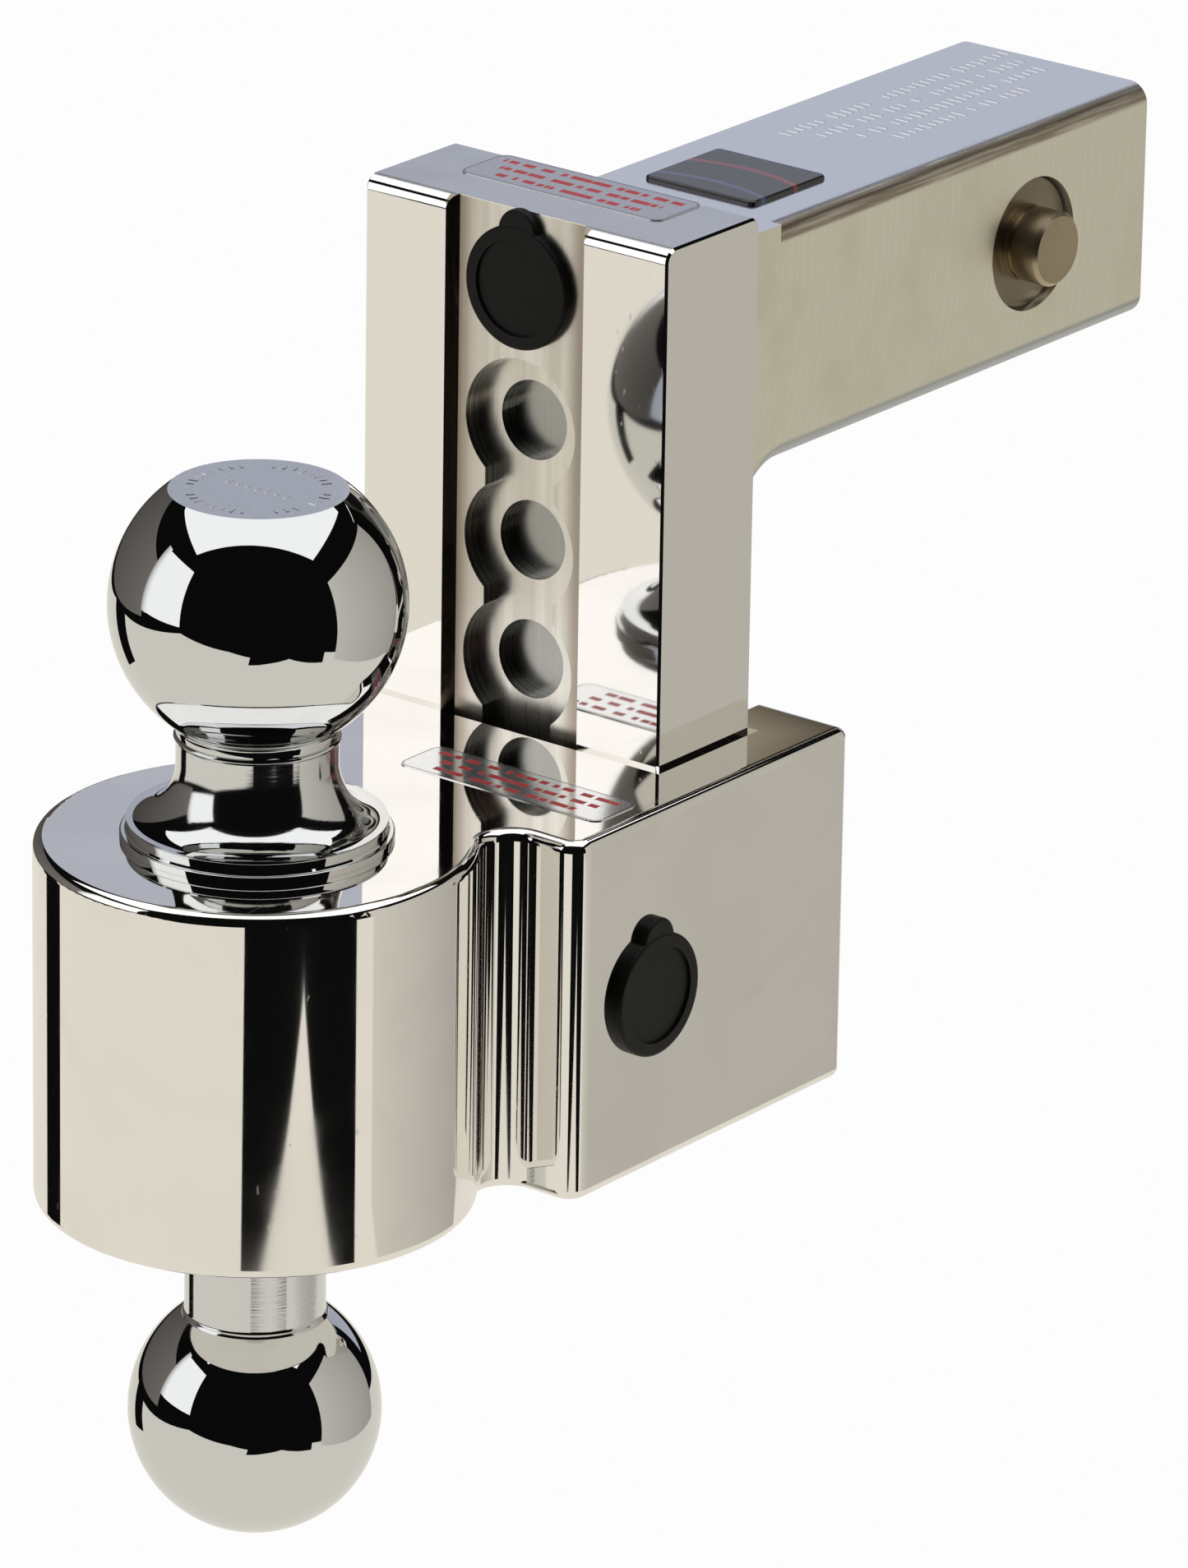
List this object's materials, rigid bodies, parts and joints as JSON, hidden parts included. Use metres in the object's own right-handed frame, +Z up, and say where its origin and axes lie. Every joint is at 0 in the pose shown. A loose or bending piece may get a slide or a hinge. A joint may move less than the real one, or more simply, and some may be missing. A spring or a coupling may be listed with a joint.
{
  "type": "adjustable two-ball trailer hitch",
  "caption": "Polished drop hitch: square shank with locking cross pins, slotted post, and a sliding ball block with a ball above and a smaller ball below.",
  "frame": {"origin": "centre of the hitch pin axis in the middle of the square shank", "axes": "+Y along the shank towards the vehicle, +X to the right-hand hitch pin, +Z up along the post"},
  "size_m": [0.1064, 0.3045, 0.2554],
  "materials": {
    "polished_aluminium": "mirror polished and satin brushed",
    "chrome": "polished plate",
    "steel_parts": "turned, satin",
    "cap_rubber": "satin moulded",
    "label_film": "frosted clear film",
    "badge_plastic": "domed gloss",
    "bush_bronze": "machined",
    "lock_brass": "satin plated",
    "end_plug": "moulded"
  },
  "bodies": {
    "drawbar": {"drawbar": "polished_aluminium", "shank_end_plug": "end_plug", "post_lock_housing": "steel_parts", "shaft_bush_front": "bush_bronze", "shaft_bush_rear": "bush_bronze", "pin_retainer_left": "steel_parts", "pin_retainer_right": "steel_parts", "pin_spring_left": "steel_parts", "pin_spring_right": "steel_parts", "post_label": "label_film", "shank_badge": "badge_plastic"},
    "post_lock": {"post_lock_core": "lock_brass", "post_lock_clip": "steel_parts", "lock_gear": "steel_parts"},
    "cam_shaft": {"cam_shaft": "steel_parts", "shaft_gear": "steel_parts", "pin_cam": "steel_parts", "cam_screw": "steel_parts"},
    "hitch_pin_right": {"hitch_pin_right": "steel_parts"},
    "hitch_pin_left": {"hitch_pin_left": "steel_parts"},
    "post_dust_cap": {"post_dust_cap": "cap_rubber"},
    "ball_block": {"ball_block": "polished_aluminium", "ball_large": "chrome", "ball_small": "chrome", "plunger_retainer": "steel_parts", "plunger_spring": "steel_parts", "block_lock_housing": "steel_parts", "block_label": "label_film"},
    "block_lock": {"block_lock_core": "lock_brass", "block_lock_clip": "steel_parts", "height_cam": "steel_parts"},
    "height_plunger": {"height_plunger": "steel_parts"},
    "block_dust_cap": {"block_dust_cap": "cap_rubber"}
  },
  "joints": [
    {"name": "post_lock_turn", "type": "hinge", "parent": "drawbar", "child": "post_lock", "pos_m": [0, -0.1412, 0.0197], "axis": [0, -1, 0], "range_deg": [0, 90]},
    {"name": "cam_shaft_turn", "type": "hinge", "parent": "drawbar", "child": "cam_shaft", "pos_m": [0, 0, 0], "axis": [0, 1, 0], "range_deg": [0, 90]},
    {"name": "hitch_pin_right_slide", "type": "slide", "parent": "drawbar", "child": "hitch_pin_right", "axis": [1, 0, 0], "range_m": [-0.00644, 0], "deforming": ["pin_spring_right"]},
    {"name": "hitch_pin_left_slide", "type": "slide", "parent": "drawbar", "child": "hitch_pin_left", "axis": [-1, 0, 0], "range_m": [-0.00644, 0], "deforming": ["pin_spring_left"]},
    {"name": "post_cap_pull", "type": "slide", "parent": "drawbar", "child": "post_dust_cap", "axis": [0, 1, 0], "range_m": [-0.03, 0]},
    {"name": "block_slide", "type": "slide", "parent": "drawbar", "child": "ball_block", "axis": [0, 0, 1], "range_m": [0, 0.1016]},
    {"name": "block_lock_turn", "type": "hinge", "parent": "ball_block", "child": "block_lock", "pos_m": [0.0521, -0.1602, -0.11115], "axis": [1, 0, 0], "range_deg": [0, 90]},
    {"name": "height_plunger_slide", "type": "slide", "parent": "ball_block", "child": "height_plunger", "axis": [0, 1, 0], "range_m": [0, 0.00644], "deforming": ["plunger_spring"]},
    {"name": "block_cap_pull", "type": "slide", "parent": "ball_block", "child": "block_dust_cap", "axis": [1, 0, 0], "range_m": [0, 0.03]}
  ],
  "couplings": [
    {"joint": "hitch_pin_left_slide", "follows": "hitch_pin_right_slide", "ratio": 1},
    {"joint": "cam_shaft_turn", "follows": "hitch_pin_right_slide", "rad_per_m": -243.9},
    {"joint": "post_lock_turn", "follows": "hitch_pin_right_slide", "rad_per_m": -243.9},
    {"joint": "block_lock_turn", "follows": "height_plunger_slide", "rad_per_m": 243.9}
  ]
}
